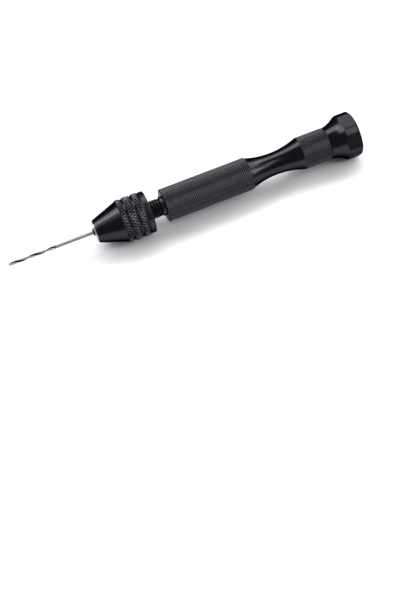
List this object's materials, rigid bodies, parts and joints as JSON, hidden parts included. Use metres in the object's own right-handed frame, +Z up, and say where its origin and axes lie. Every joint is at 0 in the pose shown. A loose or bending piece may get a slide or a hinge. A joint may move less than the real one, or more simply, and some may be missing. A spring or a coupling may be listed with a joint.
{
  "type": "pin vise drill",
  "caption": "Slim knurled hand drill with a keyless three-jaw chuck holding a thin twist bit, and a hexagonal palm cap that swivels.",
  "frame": {"origin": "centre of the bounding box in plan, on the table the tool lies on (z = 0 at the cap's lower flat)", "axes": "+X along the tool's axis from the drill bit towards the palm cap, +Z up; the tool's axis is 9.2 mm above the table"},
  "size_m": [0.1528, 0.0196, 0.0184],
  "materials": {
    "black_anodised": "black anodised, satin",
    "knurled_anodised": "black anodised over a diamond knurl",
    "chuck_steel": "turned steel",
    "jaw_steel": "hardened, dark oxide",
    "bit_steel": "ground high speed steel",
    "bearing_steel": "ground and polished",
    "cage_brass": "pressed, dull",
    "screw_steel": "zinc plated",
    "washer_plastic": "black, smooth"
  },
  "bodies": {
    "handle_and_chuck_body": {"handle": "knurled_anodised", "chuck_body": "chuck_steel", "chuck_rear_ring": "black_anodised", "swivel_washer": "washer_plastic", "cap_screw": "screw_steel", "screw_washer": "screw_steel", "bearing_inner_ring": "bearing_steel"},
    "sleeve": {"chuck_sleeve": "knurled_anodised", "jaw_nut_half_1": "chuck_steel", "jaw_nut_half_2": "chuck_steel"},
    "jaw_a": {"jaw_1": "jaw_steel"},
    "jaw_b": {"jaw_2": "jaw_steel"},
    "jaw_c": {"jaw_3": "jaw_steel"},
    "bit": {"drill_bit": "bit_steel"},
    "cap": {"swivel_cap": "black_anodised", "cap_end_plug": "black_anodised", "bearing_outer_ring": "bearing_steel", "bearing_shield_front": "bearing_steel", "bearing_shield_rear": "bearing_steel"},
    "ball_set": {"bearing_balls": "bearing_steel", "bearing_cage": "cage_brass"}
  },
  "joints": [
    {"name": "sleeve_turn", "type": "hinge", "parent": "handle_and_chuck_body", "child": "sleeve", "pos_m": [-0.0289, 0, 0.0092], "axis": [1, 0, 0], "range_deg": [0, 1334.3]},
    {"name": "jaw_a_slide", "type": "slide", "parent": "handle_and_chuck_body", "child": "jaw_a", "axis": [0.9397, 0, -0.342], "range_m": [0, 0.00278]},
    {"name": "jaw_b_slide", "type": "slide", "parent": "handle_and_chuck_body", "child": "jaw_b", "axis": [0.9397, 0.2962, 0.171], "range_m": [0, 0.00278]},
    {"name": "jaw_c_slide", "type": "slide", "parent": "handle_and_chuck_body", "child": "jaw_c", "axis": [0.9397, -0.2962, 0.171], "range_m": [0, 0.00278]},
    {"name": "bit_slide", "type": "slide", "parent": "handle_and_chuck_body", "child": "bit", "axis": [-1, 0, 0], "range_m": [-0.005, 0.009]},
    {"name": "cap_swivel", "type": "hinge", "parent": "handle_and_chuck_body", "child": "cap", "pos_m": [0.0691, 0, 0.0092], "axis": [1, 0, 0], "continuous": true},
    {"name": "ball_set_turn", "type": "hinge", "parent": "handle_and_chuck_body", "child": "ball_set", "pos_m": [0.0682, 0, 0.0092], "axis": [1, 0, 0], "continuous": true}
  ],
  "couplings": [
    {"joint": "jaw_a_slide", "follows": "sleeve_turn", "m_per_rad": 0.00011937},
    {"joint": "jaw_b_slide", "follows": "sleeve_turn", "m_per_rad": 0.00011937},
    {"joint": "jaw_c_slide", "follows": "sleeve_turn", "m_per_rad": 0.00011937},
    {"joint": "ball_set_turn", "follows": "cap_swivel", "ratio": 0.625}
  ]
}
